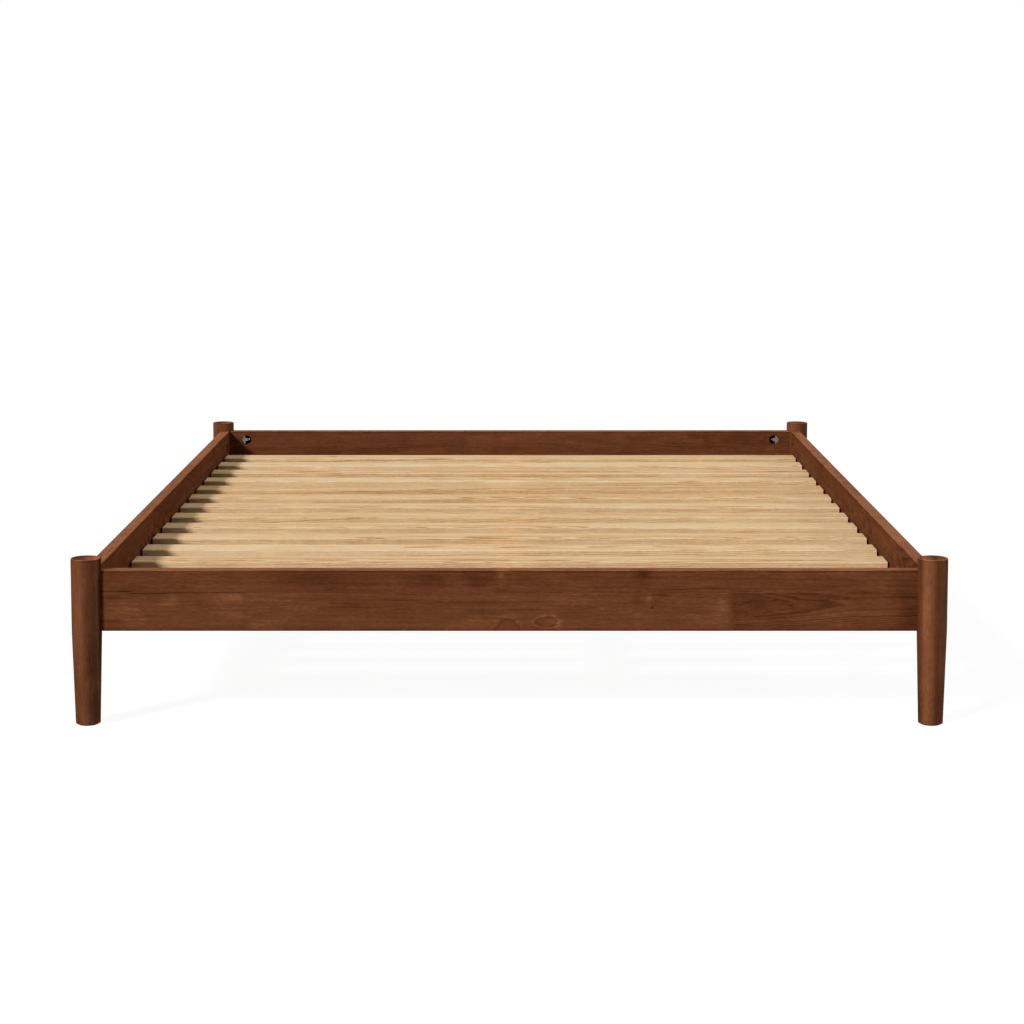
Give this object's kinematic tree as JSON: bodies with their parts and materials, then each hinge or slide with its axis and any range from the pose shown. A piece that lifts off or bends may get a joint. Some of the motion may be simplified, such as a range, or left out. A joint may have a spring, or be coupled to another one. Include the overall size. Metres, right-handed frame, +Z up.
{
  "type": "platform bed frame",
  "caption": "Low wooden platform bed frame with turned, dished legs standing proud of edge-glued rails, a slatted deck and an adjustable centre leg.",
  "frame": {"origin": "on the floor, in the middle of the footprint", "axes": "+Z up; +Y lengthwise from the foot end to the head end; +X to the right as seen from the foot end"},
  "size_m": [1.6326, 2.1404, 0.314],
  "materials": {
    "stained_leg_wood": "satin walnut stain",
    "stained_rail_wood": "satin walnut stain",
    "stained_ledger_wood": "satin walnut stain",
    "natural_slat_wood": "planed, unfinished",
    "natural_beam_wood": "planed, unfinished",
    "dowel_wood": "fluted hardwood",
    "zinc_steel": "zinc plated",
    "yellow_zinc_steel": "yellow zinc plated",
    "black_steel": "black powder coat",
    "webbing": "woven polyester",
    "felt": "pressed felt",
    "black_nylon": "moulded nylon"
  },
  "bodies": {
    "frame": {"foot_left_leg": "stained_leg_wood", "foot_left_glide": "felt", "foot_right_leg": "stained_leg_wood", "foot_right_glide": "felt", "head_left_leg": "stained_leg_wood", "head_left_glide": "felt", "head_right_leg": "stained_leg_wood", "head_right_glide": "felt", "foot_rail": "stained_rail_wood", "head_rail": "stained_rail_wood", "left_rail": "stained_rail_wood", "right_rail": "stained_rail_wood", "left_ledger": "stained_ledger_wood", "right_ledger": "stained_ledger_wood", "centre_beam": "natural_beam_wood", "foot_beam_hanger": "black_steel", "head_beam_hanger": "black_steel", "centre_leg": "stained_leg_wood", "centre_leg_stud": "zinc_steel", "centre_beam_insert": "yellow_zinc_steel", "centre_foot_insert": "yellow_zinc_steel", "slat_01": "natural_slat_wood", "slat_02": "natural_slat_wood", "slat_03": "natural_slat_wood", "slat_04": "natural_slat_wood", "slat_05": "natural_slat_wood", "slat_06": "natural_slat_wood", "slat_07": "natural_slat_wood", "slat_08": "natural_slat_wood", "slat_09": "natural_slat_wood", "slat_10": "natural_slat_wood", "slat_11": "natural_slat_wood", "slat_12": "natural_slat_wood", "slat_13": "natural_slat_wood", "slat_14": "natural_slat_wood", "slat_strap_left": "webbing", "slat_strap_right": "webbing", "strap_staples": "zinc_steel", "rail_inserts": "yellow_zinc_steel", "rail_studs": "zinc_steel", "rail_washers": "zinc_steel", "rail_nuts": "zinc_steel", "hanger_screws": "zinc_steel", "rail_dowels": "dowel_wood", "ledger_screws": "yellow_zinc_steel", "slat_screws": "yellow_zinc_steel"},
    "centre_pad": {"centre_foot_pad": "black_nylon"},
    "centre_stem": {"centre_foot_stem": "zinc_steel"}
  },
  "joints": [
    {"name": "centre_foot_height", "type": "slide", "parent": "frame", "child": "centre_pad", "axis": [0, 0, -1], "range_m": [-0.007, 0.014]},
    {"name": "centre_foot_turn", "type": "hinge", "parent": "centre_pad", "child": "centre_stem", "pos_m": [0, 0, 0.03], "axis": [0, 0, -1], "range_deg": [-2016.4, 4032.4]}
  ],
  "couplings": [
    {"joint": "centre_foot_turn", "follows": "centre_foot_height", "rad_per_m": 5026.5}
  ]
}
